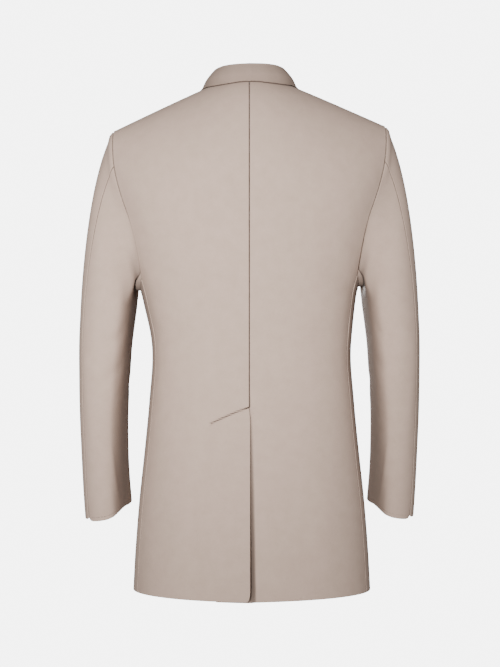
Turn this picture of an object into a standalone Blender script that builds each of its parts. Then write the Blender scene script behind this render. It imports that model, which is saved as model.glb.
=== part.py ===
"""Tailored mid-thigh overcoat, filled out with no wearer, in metres.

The coat faces -Y and its back is at +Y, so the wearer's left is +X. The origin
lies midway between the points where the collar's edge crosses the shoulders.
Every cloth piece is a thin wall whose outer face is computed from one body
skin, one sleeve surface or one collar section, all driven by the tables below.
"""

import math
from collections import namedtuple

import bpy
import numpy as np

# ---------------------------------------------------------------- sizes

CLOTH = 0.002  # thickness of the wool cloth
SEAM = 0.00015  # each panel stops this far short of its seam line
LIE = 0.0004  # clearance under cloth that lies on cloth

HEM_Z = -0.843
UNDERARM_Z = -0.330  # body level where the armhole starts
SEAM_TOP_Z = -0.315  # where the side panel's seams meet the armhole
ARMHOLE_LOW_Z = -0.336

NAPE_Z = 0.012  # centre-back neck point
NECK_HALF = 0.068
COLLAR_HALF = 0.081  # the shoulder line has height 0 here
SHOULDER_HALF = 0.229
SHOULDER_Z = -0.0665
SHOULDER_FALL = 0.47  # slope of the shoulder line
SHOULDER_ROUND = 0.020  # how softly the two slopes join over the nape
SHOULDER_DEEP = 0.17  # height over which the shoulder rounds over
NAPE_POWER = 0.40  # how squarely it rounds over at the nape
SHOULDER_POWER = 0.50  # and out on the shoulder
SHOULDER_START = 0.12  # where the shoulder's own roundness is reached

SECTION_POWER = 2.4  # squareness of the body's plan section
SEAM_RATIO = 0.95  # side panel seams, as a share of the half width

CENTRE_LAP = 0.022  # each front reaches this far past the centre
BREAK_Z = -0.310  # where the lapel's roll line starts
LAPEL_CROSS_Z = -0.222  # where the two roll lines have crossed
LAP_DROP = CLOTH + 0.0007  # how far an under-lap lies inside the upper one
CLOSURE_FADE_Z = (-0.180, -0.250)  # heights between which the under front sinks in
CLOSURE_FADE_X = (0.060, 0.0255)  # and distances from the centre

VENT_TOP_Z = -0.530
VENT_LOW_Z = -0.553  # lower end of the slanted seam over the vent
VENT_LAP = 0.058  # width of the vent's under-lap
VENT_EDGE = 0.0015  # the upper lap passes the centre by this much
VENT_OPEN = 0.0065  # extra drop of the under-lap at the hem
VENT_FADE_Z = (-0.500, -0.529)  # heights between which the under-lap sinks in
VENT_FADE_X = (0.048, 0.003)  # and distances from the centre

BUTTON_RADIUS = 0.011
BUTTON_THICK = 0.0035
BUTTON_HEIGHTS = (-0.340, -0.445, -0.550)
BUTTON_STEPS = 20
Ring = namedtuple("Ring", "radius height")  # as shares of the button's own
BUTTON_RINGS = (
    Ring(radius=0.86, height=0.0),
    Ring(radius=1.0, height=0.30),
    Ring(radius=1.0, height=0.72),
    Ring(radius=0.93, height=1.0),
    Ring(radius=0.80, height=0.98),
    Ring(radius=0.68, height=0.66),
)
BUTTON_MIDDLE = 0.62  # height of the sunk middle

Level = namedtuple("Level", "z half_width back_depth front_depth")
LEVELS = (
    Level(z=-0.843, half_width=0.199, back_depth=0.146, front_depth=0.140),
    Level(z=-0.775, half_width=0.1955, back_depth=0.142, front_depth=0.136),
    Level(z=-0.690, half_width=0.189, back_depth=0.137, front_depth=0.130),
    Level(z=-0.606, half_width=0.180, back_depth=0.130, front_depth=0.122),
    Level(z=-0.522, half_width=0.172, back_depth=0.121, front_depth=0.115),
    Level(z=-0.438, half_width=0.167, back_depth=0.115, front_depth=0.112),
    Level(z=-0.354, half_width=0.1786, back_depth=0.121, front_depth=0.118),
    Level(z=-0.315, half_width=0.1885, back_depth=0.126, front_depth=0.122),
    Level(z=-0.258, half_width=0.206, back_depth=0.131, front_depth=0.126),
    Level(z=-0.187, half_width=0.229, back_depth=0.134, front_depth=0.124),
    Level(z=-0.130, half_width=0.246, back_depth=0.134, front_depth=0.116),
    Level(z=-0.069, half_width=0.260, back_depth=0.131, front_depth=0.106),
    Level(z=0.030, half_width=0.270, back_depth=0.128, front_depth=0.098),
)

Armhole = namedtuple("Armhole", "z back_x front_x")
ARMHOLE = (
    Armhole(z=-0.315, back_x=0.1791, front_x=0.1791),
    Armhole(z=-0.258, back_x=0.1890, front_x=0.1850),
    Armhole(z=-0.222, back_x=0.1970, front_x=0.1900),
    Armhole(z=-0.187, back_x=0.2070, front_x=0.1970),
    Armhole(z=-0.130, back_x=0.2215, front_x=0.2110),
    Armhole(z=-0.090, back_x=0.2275, front_x=0.2210),
    Armhole(z=SHOULDER_Z, back_x=SHOULDER_HALF, front_x=SHOULDER_HALF),
)

BODY_ROWS = (
    HEM_Z, -0.795, -0.745, -0.695, -0.645, -0.595, VENT_LOW_Z,
    -0.5415, VENT_TOP_Z, -0.503, -0.468, -0.434, -0.400, -0.365, UNDERARM_Z,
)
YOKE_ROWS = 12  # rows from the underarm level up to the shoulder
PANEL_COLUMNS = 12
NECK_COLUMN = 4  # the back's neckline ends on this column
SIDE_COLUMNS = 4

Section = namedtuple("Section", "z outer_x inner_x middle_y half_depth")
SLEEVE = (
    Section(z=-0.362, outer_x=0.2833, inner_x=0.1890, middle_y=0.006, half_depth=0.0690),
    Section(z=-0.421, outer_x=0.2856, inner_x=0.1965, middle_y=0.008, half_depth=0.0660),
    Section(z=-0.480, outer_x=0.2858, inner_x=0.2010, middle_y=0.005, half_depth=0.0630),
    Section(z=-0.540, outer_x=0.2855, inner_x=0.2045, middle_y=-0.003, half_depth=0.0595),
    Section(z=-0.606, outer_x=0.2838, inner_x=0.2050, middle_y=-0.015, half_depth=0.0560),
    Section(z=-0.660, outer_x=0.2818, inner_x=0.2035, middle_y=-0.026, half_depth=0.0535),
    Section(z=-0.709, outer_x=0.2790, inner_x=0.2005, middle_y=-0.036, half_depth=0.0520),
)
SLEEVE_POWER = 2.15  # squareness of the sleeve's section
CUFF_OUT_DROP = 0.009  # the cuff's plane falls this much to the outside
CUFF_BACK_DROP = 0.012  # and this much to the back
CUFF_TILT_Z = -0.600  # rows start to lean towards the cuff's plane here
CAP_ROWS = 8  # rows from the armhole to the first section
CAP_FOLLOW = (0.9, 0.2)  # how far the cap first follows the yoke, on top and under the arm
CAP_SIDEWAYS = (0.25, -0.05)  # how far it first leans out, at the sides and on top
CAP_REACH = (0.95, 0.75)  # how far it keeps that way, at the sides and on top
CAP_UNDER_REACH = 0.35  # and under the arm
CAP_END = np.array([0.05, 0.0, -1.0]) * 0.9  # its way down into the arm
UNDER_REGION = (1.2, 0.3)  # angles from innermost between which the under part starts
ARM_ROWS = 9  # rows from the first section to the cuff
ELBOW_ANGLE = math.radians(40)  # elbow seam, from outermost towards the back
ELBOW_STEP = 6  # armhole point on which the elbow seam ends
FRONT_ANGLE = math.radians(52)  # front seam, from outermost towards the front
FRONT_STEP = 8
UNDER_ANGLE = math.radians(148)  # where the side panel's seams meet the sleeve
SLIT_TOP_Z = -0.613
SLIT_GAP = 0.0006  # the slit's half gap at the cuff

Station = namedtuple("Station", "base_x base_y base_z fold_x fold_y fold_z edge_x edge_y edge_z")
COLLAR = (
    Station(0.000, 0.0570, 0.0148, 0.000, 0.0550, 0.0365, 0.000, 0.0695, 0.0085),
    Station(0.028, 0.0510, 0.0143, 0.027, 0.0485, 0.0360, 0.034, 0.0625, 0.0075),
    Station(0.050, 0.0345, 0.0120, 0.0460, 0.0320, 0.0340, 0.061, 0.0420, 0.0055),
    Station(0.0655, 0.0085, 0.0088, 0.0565, 0.0060, 0.0280, 0.0770, 0.0095, 0.0040),
    Station(0.0640, -0.0220, -0.0005, 0.058, -0.0230, 0.0120, 0.088, -0.0300, -0.0120),
    Station(0.0585, -0.0460, -0.0185, 0.0525, -0.0470, -0.0090, 0.094, -0.0640, -0.0430),
    Station(0.0515, -0.0615, -0.0385, 0.0460, -0.0635, -0.0330, 0.090, -0.0870, -0.0750),
)
COLLAR_STEPS = 22  # along the neck
COLLAR_FALL = 4  # this many columns of the collar lie on the cloth below
COLLAR_LIFT = 0.0021  # least height of their middle over that cloth
FOLD_HALF = 0.0022  # half the width of the collar's fold
FOLD_TURNS = 4  # steps round the fold
FALL_SHARES = (0.33, 0.67, 1.0)  # columns of the fall, from the fold to the edge
FALL_SWELL = 0.0016  # how far the fall bulges out between them

LAPEL_ROWS = 12
LAPEL_COLUMNS = 5
LAPEL_TOP_Z = -0.052  # roll line end of the gorge
LAPEL_POINT = (0.118, -0.098)  # x and z of the lapel's tip
LAPEL_START = 0.004  # width and fall of the lapel's edge where it starts
LAPEL_BELLY = 0.85  # how early the lapel's edge swings out
LAPEL_ROLL = 0.002  # how high the cloth stands near the roll line
LAPEL_CLEAR = 0.0006  # the lapel stops this far short of the roll line

# ------------------------------------------------------------ helpers


def smooth(table, column, at):
    """A column of a table, read by a smooth curve through its rows."""
    zs = [row.z for row in table]
    values = [getattr(row, column) for row in table]
    if zs[0] > zs[-1]:
        zs, values = zs[::-1], values[::-1]
    return hermite_through(zs, values, at)


def hermite_through(places, values, at):
    """Cubic through (place, value) pairs, held flat past both ends."""
    at = min(max(at, places[0]), places[-1])
    last = len(places) - 1
    i = min(max(np.searchsorted(places, at, side="right") - 1, 0), last - 1)

    def slope(k):
        low, high = max(k - 1, 0), min(k + 1, last)
        return (values[high] - values[low]) / (places[high] - places[low])

    span = places[i + 1] - places[i]
    t = (at - places[i]) / span
    rise = values[i + 1] - values[i]
    a = slope(i) * span - rise
    b = rise - slope(i + 1) * span
    return values[i] + t * rise + t * (1 - t) * ((1 - t) * a + t * b)


def ramp(value, start, end):
    """0 at start, 1 at end, with soft ends."""
    t = min(max((value - start) / (end - start), 0.0), 1.0)
    return t * t * (3 - 2 * t)


def mix(a, b, t):
    return a + (b - a) * t


def unit(vector):
    return vector / max(np.linalg.norm(vector), 1e-12)


def material(name, colour, roughness):
    made = bpy.data.materials.new(name)
    made.use_nodes = True
    shader = made.node_tree.nodes["Principled BSDF"]
    shader.inputs["Base Color"].default_value = (*colour, 1.0)
    shader.inputs["Roughness"].default_value = roughness
    shader.inputs["Metallic"].default_value = 0.0
    return made


def add_object(name, points, faces, finish):
    """A mesh object with its faces pointing out."""
    centre = np.mean(points, axis=0)
    fans = [(face[0], b, c) for face in faces for b, c in zip(face[1:], face[2:])]
    corners = np.array([[points[i] - centre for i in fan] for fan in fans])
    if np.linalg.det(corners).sum() < 0:
        faces = [face[::-1] for face in faces]
    mesh = bpy.data.meshes.new(name)
    mesh.from_pydata([tuple(p) for p in points], [], faces)
    mesh.materials.append(finish)
    mesh.shade_smooth()
    mesh.set_sharp_from_angle(angle=math.radians(50))
    made = bpy.data.objects.new(name, mesh)
    bpy.context.scene.collection.objects.link(made)
    return made


def add_wall(name, outer, inner, finish):
    """A closed wall between two grids of points with the same layout."""
    rows, columns = outer.shape[:2]
    count = rows * columns
    points = np.concatenate([outer.reshape(-1, 3), inner.reshape(-1, 3)])

    def at(row, column):
        return row * columns + column

    faces = []
    for r in range(rows - 1):
        for c in range(columns - 1):
            a, b = at(r, c), at(r, c + 1)
            d, e = at(r + 1, c), at(r + 1, c + 1)
            faces += [(a, b, e), (a, e, d)]
            faces += [(a + count, e + count, b + count), (a + count, d + count, e + count)]
    rim = [at(0, c) for c in range(columns)]
    rim += [at(r, columns - 1) for r in range(1, rows)]
    rim += [at(rows - 1, c) for c in range(columns - 2, -1, -1)]
    rim += [at(r, 0) for r in range(rows - 2, 0, -1)]
    for a, b in zip(rim, rim[1:] + rim[:1]):
        faces += [(b, a, a + count), (b, a + count, b + count)]
    return add_object(name, points, faces, finish)


def pull_back(grid, row=None, column=None, inside=1, by=SEAM):
    """Moves one edge of a grid towards the line of points inside it."""
    edge = grid[row] if row is not None else grid[:, column]
    near = row + inside if row is not None else column + inside
    next_line = grid[near] if row is not None else grid[:, near]
    step = next_line - edge
    edge += step * (by / np.maximum(np.linalg.norm(step, axis=-1, keepdims=True), 1e-9))


# ---------------------------------------------------------- body skin


def shoulder_line(x):
    """Height of the shoulder seam's line over a point across the body."""
    top = math.hypot(SHOULDER_FALL * COLLAR_HALF, SHOULDER_ROUND)
    return top - math.hypot(SHOULDER_FALL * x, SHOULDER_ROUND)


def over_shoulder(x, z):
    """Share of the full depth left where the cloth rounds over the shoulder."""
    drop = (shoulder_line(x) - z) / SHOULDER_DEEP
    drop = min(max(drop, 0.0), 1.0)
    power = mix(NAPE_POWER, SHOULDER_POWER, ramp(abs(x), 0.0, SHOULDER_START))
    return (1 - (1 - drop) ** 2) ** power


def skin(x, z, front):
    """Point of the body's outer surface at this place across and height."""
    width = smooth(LEVELS, "half_width", z)
    depth = smooth(LEVELS, "front_depth" if front else "back_depth", z)
    share = max(1 - (abs(x) / width) ** SECTION_POWER, 0.0) ** (1 / SECTION_POWER)
    y = depth * share * over_shoulder(x, z)
    return np.array([x, -y if front else y, z])


def skin_value(p, front):
    """Above 1 outside the body's surface, below 1 inside it."""
    width = smooth(LEVELS, "half_width", p[2])
    depth = smooth(LEVELS, "front_depth" if front else "back_depth", p[2])
    depth *= max(over_shoulder(p[0], p[2]), 1e-4)
    return (abs(p[0]) / width) ** SECTION_POWER + (abs(p[1]) / depth) ** SECTION_POWER


def skin_normal(p, front):
    """Outward direction of the body's surface."""
    if shoulder_line(p[0]) - p[2] < 0.0008:
        slope = SHOULDER_FALL * math.copysign(1, p[0])
        return unit(np.array([slope, 0.0, 1.0]))
    step = 1e-5
    gradient = []
    for axis in np.eye(3) * step:
        gradient.append(skin_value(p + axis, front) - skin_value(p - axis, front))
    return unit(np.array(gradient))


def side_point(angle, z):
    """Point on the body's section, from the back (0) round to the front."""
    front = angle > math.pi / 2
    width = smooth(LEVELS, "half_width", z)
    depth = smooth(LEVELS, "front_depth" if front else "back_depth", z)
    power = 2 / SECTION_POWER
    x = width * math.sin(angle) ** power
    y = depth * math.copysign(abs(math.cos(angle)) ** power, math.cos(angle))
    return np.array([x, y, z])


NECK_Z = shoulder_line(NECK_HALF)
SEAM_ANGLE = math.asin(SEAM_RATIO ** (SECTION_POWER / 2))


def column_share(column):
    """How far a panel column lies from the centre to the panel's outer edge."""
    angle = SEAM_ANGLE * column / PANEL_COLUMNS
    return math.sin(angle) ** (2 / SECTION_POWER) / SEAM_RATIO


# -------------------------------------------------------------- panels


def back_inner_x(z, under):
    """Centre edge of a back panel. The under-lap passes the centre."""
    if under:
        return -VENT_LAP * min(max((VENT_TOP_Z - z) / (VENT_TOP_Z - VENT_LOW_Z), 0), 1)
    return -VENT_EDGE * ramp(z, VENT_TOP_Z, VENT_LOW_Z)


def front_inner_x(z):
    """Centre edge of a front panel: the closure, then the lapel's roll line."""
    if z < BREAK_Z:
        return -CENTRE_LAP
    return mix(-CENTRE_LAP, NECK_HALF, (z - BREAK_Z) / (NECK_Z - BREAK_Z))


def vent_drop(x, z):
    """How far the vent's under-lap lies inside the body's surface."""
    deep = LAP_DROP + VENT_OPEN * min(max((VENT_TOP_Z - z) / (VENT_TOP_Z - HEM_Z), 0), 1)
    return deep * ramp(z, *VENT_FADE_Z) * ramp(x, *VENT_FADE_X)


def closure_drop(x, z):
    """How far the under front lies inside the body's surface."""
    return LAP_DROP * ramp(z, *CLOSURE_FADE_Z) * ramp(x, *CLOSURE_FADE_X)


def edge_x(z, front):
    """Outer edge of a front or back panel: side seam, then armhole."""
    if z <= SEAM_TOP_Z:
        return smooth(LEVELS, "half_width", z) * SEAM_RATIO
    return smooth(ARMHOLE, "front_x" if front else "back_x", z)


def panel(front, under):
    """Outer and inner points of one half of the front or the back, at +X.

    Rows run from the hem to the shoulder and columns from the centre out.
    """
    outer = []
    for z_centre in BODY_ROWS[:-1]:
        share = (z_centre - HEM_Z) / (UNDERARM_Z - HEM_Z)
        z_edge = mix(HEM_Z, SEAM_TOP_Z, share)
        outer.append(panel_row(front, under, z_centre, z_edge, 0.0))
    for row in range(YOKE_ROWS + 1):
        rise = 1 - (1 - row / YOKE_ROWS) ** 2
        z_centre = mix(UNDERARM_Z, NECK_Z if front else NAPE_Z, rise)
        z_edge = mix(SEAM_TOP_Z, SHOULDER_Z, rise)
        outer.append(panel_row(front, under, z_centre, z_edge, rise))
    outer = np.array(outer)
    normals = np.array([[skin_normal(p, front) for p in line] for line in outer])
    if under:
        drop = closure_drop if front else vent_drop
        for index in np.ndindex(outer.shape[:2]):
            p = outer[index]
            outer[index] = p - normals[index] * drop(p[0], p[2])
    pull_back(outer, row=-1, inside=-1)
    pull_back(outer, column=-1, inside=-1)
    pull_back(outer, column=0)
    inner = outer - normals * CLOTH
    return outer, inner


def panel_row(front, under, z_centre, z_edge, rise):
    """One row of a panel. rise is 0 below the underarm and 1 at the shoulder."""
    x_edge = edge_x(z_edge, front)
    x_start = front_inner_x(z_centre) if front else back_inner_x(z_centre, under)
    neck_column = 0 if front else NECK_COLUMN
    neck_share = column_share(neck_column)
    line = []
    for column in range(PANEL_COLUMNS + 1):
        share = column_share(column)
        x = mix(x_start, x_edge, share)
        if column <= neck_column:
            on_top = NECK_HALF * share / neck_share if neck_column else NECK_HALF
            z_top = mix(NECK_Z, NAPE_Z, math.cos(math.pi / 2 * on_top / NECK_HALF))
        else:
            along = (share - neck_share) / (1 - neck_share)
            on_top = mix(NECK_HALF, SHOULDER_HALF, along)
            z_top = shoulder_line(on_top)
        x = mix(x, on_top, rise**3)
        level = mix(z_centre, z_edge, share)
        straight = mix(NECK_Z if front else NAPE_Z, SHOULDER_Z, share)
        arched = z_top - (1 - rise) * (straight - mix(UNDERARM_Z, SEAM_TOP_Z, share))
        z = mix(level, arched, rise)
        line.append(skin(x, min(z, shoulder_line(x)), front))
    return line


def side_panel():
    """Outer and inner points of a side panel, from its back seam forwards."""
    outer, normals = [], []
    for z_centre in BODY_ROWS:
        share = (z_centre - HEM_Z) / (UNDERARM_Z - HEM_Z)
        line = []
        for column in range(SIDE_COLUMNS + 1):
            across = column / SIDE_COLUMNS
            angle = mix(SEAM_ANGLE, math.pi - SEAM_ANGLE, across)
            dip = (SEAM_TOP_Z - ARMHOLE_LOW_Z) * math.sin(math.pi * across)
            line.append(side_point(angle, mix(HEM_Z, SEAM_TOP_Z - dip, share)))
        outer.append(line)
        normals.append([skin_normal(p, p[1] < 0) for p in line])
    outer, normals = np.array(outer), np.array(normals)
    pull_back(outer, column=0)
    pull_back(outer, column=-1, inside=-1)
    pull_back(outer, row=-1, inside=-1)
    return outer, outer - normals * CLOTH


def armhole_loop():
    """The armhole's seam line, its body normals and the way out of the body.

    It starts at the shoulder seam and runs down the back, under the arm and
    up the front, on the same points as the panels' edges.
    """
    back = raw_edge(front=False)
    front = raw_edge(front=True)
    under = []
    for column in range(1, SIDE_COLUMNS):
        across = column / SIDE_COLUMNS
        angle = mix(SEAM_ANGLE, math.pi - SEAM_ANGLE, across)
        dip = (SEAM_TOP_Z - ARMHOLE_LOW_Z) * math.sin(math.pi * across)
        under.append(side_point(angle, SEAM_TOP_Z - dip))
    loop = np.array(back[::-1] + under + front[:-1])
    normals = np.array([skin_normal(p, p[1] < 0) for p in loop])
    along = np.roll(loop, -1, axis=0) - np.roll(loop, 1, axis=0)
    away = np.array([unit(np.cross(n, t)) for n, t in zip(normals, along)])
    middle = loop.mean(axis=0)
    for i, direction in enumerate(away):
        if direction @ (middle - loop[i]) < 0:
            away[i] = -direction
    return loop, normals, away


def raw_edge(front):
    """The armhole edge of a front or back panel, from the underarm up."""
    points = []
    for row in range(YOKE_ROWS + 1):
        rise = 1 - (1 - row / YOKE_ROWS) ** 2
        z_edge = mix(SEAM_TOP_Z, SHOULDER_Z, rise)
        z_centre = mix(UNDERARM_Z, NECK_Z if front else NAPE_Z, rise)
        points.append(panel_row(front, False, z_centre, z_edge, rise)[-1])
    return points


# -------------------------------------------------------------- sleeve


def sleeve_angles(count):
    """The angle on the sleeve's section of each armhole point."""
    fixed = {
        0: 0.0,
        ELBOW_STEP: ELBOW_ANGLE,
        YOKE_ROWS: UNDER_ANGLE,
        YOKE_ROWS + SIDE_COLUMNS: 2 * math.pi - UNDER_ANGLE,
        count - FRONT_STEP: 2 * math.pi - FRONT_ANGLE,
        count: 2 * math.pi,
    }
    steps = sorted(fixed)
    return [float(np.interp(i, steps, [fixed[s] for s in steps])) for i in range(count)]


def section_point(z, angle):
    """A point of the sleeve. Angle 0 is outermost and a quarter turn is the back."""
    outer_x = smooth(SLEEVE, "outer_x", z)
    inner_x = smooth(SLEEVE, "inner_x", z)
    depth = smooth(SLEEVE, "half_depth", z)
    power = 2 / SLEEVE_POWER
    across = math.copysign(abs(math.cos(angle)) ** power, math.cos(angle))
    deep = math.copysign(abs(math.sin(angle)) ** power, math.sin(angle))
    x = (outer_x + inner_x) / 2 + (outer_x - inner_x) / 2 * across
    y = smooth(SLEEVE, "middle_y", z) + depth * deep
    lean = ramp(z, CUFF_TILT_Z, SLEEVE[-1].z)
    drop = (CUFF_OUT_DROP * math.cos(angle) + CUFF_BACK_DROP * math.sin(angle)) * lean
    return np.array([x, y, z - drop])


def sleeve_surface():
    """Rings of the left sleeve's outer points, and its inner points."""
    loop, body_normals, away = armhole_loop()
    angles = sleeve_angles(len(loop))
    first_z = SLEEVE[0].z
    rings = []
    for row in range(CAP_ROWS):
        t = row / CAP_ROWS
        ring = []
        for start, leave, angle in zip(loop, away, angles):
            end = section_point(first_z, angle)
            chord = np.linalg.norm(end - start)
            top = max(math.cos(angle), 0.0)
            under = ramp(abs(angle - math.pi), *UNDER_REGION)
            bend = np.array([mix(*CAP_SIDEWAYS, top), 0.0, -top])
            outward = unit(leave * mix(*CAP_FOLLOW, under) + bend)
            reach = mix(mix(*CAP_REACH, top), CAP_UNDER_REACH, under)
            go = outward * chord * reach
            ring.append(hermite(start, go, end, CAP_END * chord, t))
        rings.append(ring)
    for row in range(ARM_ROWS + 1):
        z = mix(first_z, SLEEVE[-1].z, row / ARM_ROWS)
        rings.append([section_point(z, angle) for angle in angles])
    outer = np.array(rings)
    outer[0] += away * 2 * SEAM
    round_way = np.roll(outer, -1, axis=1) - np.roll(outer, 1, axis=1)
    down_way = np.gradient(outer, axis=0)
    normals = np.cross(down_way, round_way)
    normals /= np.linalg.norm(normals, axis=2, keepdims=True)
    centres = outer.mean(axis=1, keepdims=True)
    if np.sum(normals[-1] * (outer[-1] - centres[-1])) < 0:
        normals = -normals
    for i, direction in enumerate(away):
        turned = unit(normals[0, i] + body_normals[i])
        if turned @ direction > 0:
            turned = body_normals[i]
        normals[0, i] = turned
    return outer, outer - normals * CLOTH


def sleeve_half(outer, inner, first, last):
    """The columns of a sleeve between two of its seams, pulled back from them."""
    count = outer.shape[1]
    columns = [c % count for c in range(first, last + 1)]
    out, into = outer[:, columns].copy(), inner[:, columns].copy()
    for edge, inside in ((0, 1), (-1, -1)):
        slit = columns[edge] == ELBOW_STEP
        for row in range(out.shape[0]):
            gap = SEAM
            if slit:
                gap = mix(SEAM, SLIT_GAP, ramp(out[row, edge, 2], SLIT_TOP_Z, SLEEVE[-1].z))
            for grid in (out, into):
                step = grid[row, edge + inside] - grid[row, edge]
                grid[row, edge] += unit(step) * gap
    return out, into


# ------------------------------------------------------- collar, lapel


def hermite(start, go, end, come, t):
    """Cubic from start to end with the given leaving and arriving directions."""
    return (
        start * (2 * t**3 - 3 * t**2 + 1)
        + go * (t**3 - 2 * t**2 + t)
        + end * (3 * t**2 - 2 * t**3)
        + come * (t**3 - t**2)
    )


def collar_point(kind, place):
    """A guide line of the collar: kind is base, fold or edge, place 0 to 1."""
    places = [i / (len(COLLAR) - 1) for i in range(len(COLLAR))]
    point = []
    for axis in "xyz":
        values = [getattr(row, f"{kind}_{axis}") for row in COLLAR]
        point.append(hermite_through(places, values, place))
    return np.array(point)


def collar_section(place):
    """Middle line of the collar's cloth, from its stand over the fold to its edge."""
    base, fold, edge = (collar_point(kind, place) for kind in ("base", "fold", "edge"))
    ahead = collar_point("fold", min(place + 0.02, 1.0))
    along = unit(ahead - collar_point("fold", max(place - 0.02, 0.0)))
    up = unit(fold - base)
    out = unit(np.cross(along, up))
    if out @ (edge - fold) < 0:
        out = -out
    turn = []
    for step in range(FOLD_TURNS + 1):
        angle = math.pi * step / FOLD_TURNS
        rise = up * (math.sin(angle) - 1)
        turn.append(fold + (rise + out * (1 - math.cos(angle))) * FOLD_HALF)
    stand = [mix(base, turn[0], share) for share in (0.0, 0.5)]
    fall = []
    for share in FALL_SHARES:
        swell = FALL_SWELL * math.sin(math.pi * share)
        fall.append(mix(turn[-1], edge, share) + out * swell)
    return stand + turn + fall


def lifted(points, ground, ways, least):
    """Points moved out so that they lie at least so far over the ground."""
    for index in np.ndindex(points.shape[:-1]):
        p = points[index]
        near = int(np.argmin(np.sum((ground - p) ** 2, axis=1)))
        height = (p - ground[near]) @ ways[near]
        if height < least:
            points[index] = p + ways[near] * (least - height)
    return points


def collar_grid(grounds):
    """Middle surface of the whole collar, from the right end to the left end."""
    half = [collar_section(i / (COLLAR_STEPS / 2)) for i in range(COLLAR_STEPS // 2 + 1)]
    left = np.array(half)
    ground = np.concatenate([outer.reshape(-1, 3) for outer, _ in grounds])
    ways = np.concatenate([(outer - inner).reshape(-1, 3) / CLOTH for outer, inner in grounds])
    left[:, -COLLAR_FALL:] = lifted(left[:, -COLLAR_FALL:], ground, ways, COLLAR_LIFT)
    right = left[:0:-1] * np.array([-1.0, 1.0, 1.0])
    return np.concatenate([right, left])


def grid_normals(grid):
    """Normals of an open grid of points."""
    rows, columns = np.gradient(grid, axis=0), np.gradient(grid, axis=1)
    normals = np.cross(rows, columns)
    return normals / np.linalg.norm(normals, axis=2, keepdims=True)


def lapel(under):
    """Outer and inner points of a lapel, lying on its front panel."""
    low = LAPEL_CROSS_Z if under else BREAK_Z
    tip_x, tip_z = LAPEL_POINT
    outer, inner = [], []
    for row in range(LAPEL_ROWS + 1):
        up = row / LAPEL_ROWS
        z_roll = mix(low, LAPEL_TOP_Z, up)
        x_roll = front_inner_x(z_roll)
        z_edge = mix(low - LAPEL_START, tip_z, up)
        x_edge = mix(front_inner_x(low) + LAPEL_START, tip_x, up**LAPEL_BELLY)
        outer_line, inner_line = [], []
        for column in range(LAPEL_COLUMNS + 1):
            across = column / LAPEL_COLUMNS
            x = mix(x_roll + LAPEL_CLEAR, x_edge, across)
            z = mix(z_roll, z_edge, across)
            p = skin(x, z, True)
            normal = skin_normal(p, True)
            roll = (1 - across) * math.sin(math.pi * min(across * 2, 1) / 2)
            raised = LIE + LAPEL_ROLL * roll
            p = p - normal * (closure_drop(x, z) if under else 0.0)
            inner_line.append(p + normal * raised)
            outer_line.append(p + normal * (raised + CLOTH))
        outer.append(outer_line)
        inner.append(inner_line)
    return np.array(outer), np.array(inner)


# --------------------------------------------------------------- build


def add_button(name, z, finish):
    """A round button with a raised rim, seated on the left front."""
    seat = skin(0.0, z, True)
    normal = skin_normal(seat, True)
    side = np.array([1.0, 0.0, 0.0])
    up = unit(np.cross(normal, side))
    points, faces = [], []
    for ring in BUTTON_RINGS:
        for k in range(BUTTON_STEPS):
            turn = 2 * math.pi * k / BUTTON_STEPS
            spoke = (side * math.cos(turn) + up * math.sin(turn)) * ring.radius * BUTTON_RADIUS
            points.append(seat + spoke + normal * (LIE + ring.height * BUTTON_THICK))
    last = (len(BUTTON_RINGS) - 1) * BUTTON_STEPS  # first point of the last ring
    low = len(points)
    points.append(seat + normal * LIE)
    points.append(seat + normal * (LIE + BUTTON_MIDDLE * BUTTON_THICK))
    for k in range(BUTTON_STEPS):
        after = (k + 1) % BUTTON_STEPS
        for start in range(0, last, BUTTON_STEPS):
            a, b = start + k, start + after
            faces.append((a, b, b + BUTTON_STEPS, a + BUTTON_STEPS))
        faces.append((after, k, low))
        faces.append((last + k, last + after, low + 1))
    add_object(name, points, faces, finish)


def mirrored(grid):
    return grid * np.array([-1.0, 1.0, 1.0])


def main():
    for old in list(bpy.data.objects):
        bpy.data.objects.remove(old, do_unlink=True)
    wool = material("wool_cloth", (0.50, 0.42, 0.36), 0.9)
    button = material("button", (0.20, 0.15, 0.12), 0.4)

    back_left = panel(front=False, under=False)
    front_left = panel(front=True, under=False)
    add_wall("back_left", *back_left, wool)
    add_wall("back_right", *map(mirrored, panel(front=False, under=True)), wool)
    add_wall("front_left", *front_left, wool)
    add_wall("front_right", *map(mirrored, panel(front=True, under=True)), wool)
    side = side_panel()
    add_wall("side_left", *side, wool)
    add_wall("side_right", *map(mirrored, side), wool)

    outer, inner = sleeve_surface()
    count = outer.shape[1]
    top = sleeve_half(outer, inner, -FRONT_STEP, ELBOW_STEP)
    under = sleeve_half(outer, inner, ELBOW_STEP, count - FRONT_STEP)
    add_wall("sleeve_top_left", *top, wool)
    add_wall("sleeve_under_left", *under, wool)
    add_wall("sleeve_top_right", *map(mirrored, top), wool)
    add_wall("sleeve_under_right", *map(mirrored, under), wool)

    lapel_left = lapel(under=False)
    add_wall("lapel_left", *lapel_left, wool)
    add_wall("lapel_right", *map(mirrored, lapel(under=True)), wool)

    middle = collar_grid([back_left, front_left, lapel_left])
    thick = grid_normals(middle) * CLOTH / 2
    add_wall("collar", middle + thick, middle - thick, wool)

    for number, z in enumerate(BUTTON_HEIGHTS, start=1):
        add_button(f"button_{number}", z, button)


main()
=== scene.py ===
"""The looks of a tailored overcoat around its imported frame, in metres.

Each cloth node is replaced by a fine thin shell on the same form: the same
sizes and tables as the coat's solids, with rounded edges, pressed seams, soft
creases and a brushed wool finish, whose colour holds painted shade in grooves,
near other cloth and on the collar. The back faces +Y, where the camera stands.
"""

import math
from collections import namedtuple

import bpy
import numpy as np
from mathutils import Matrix, Vector


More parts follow.
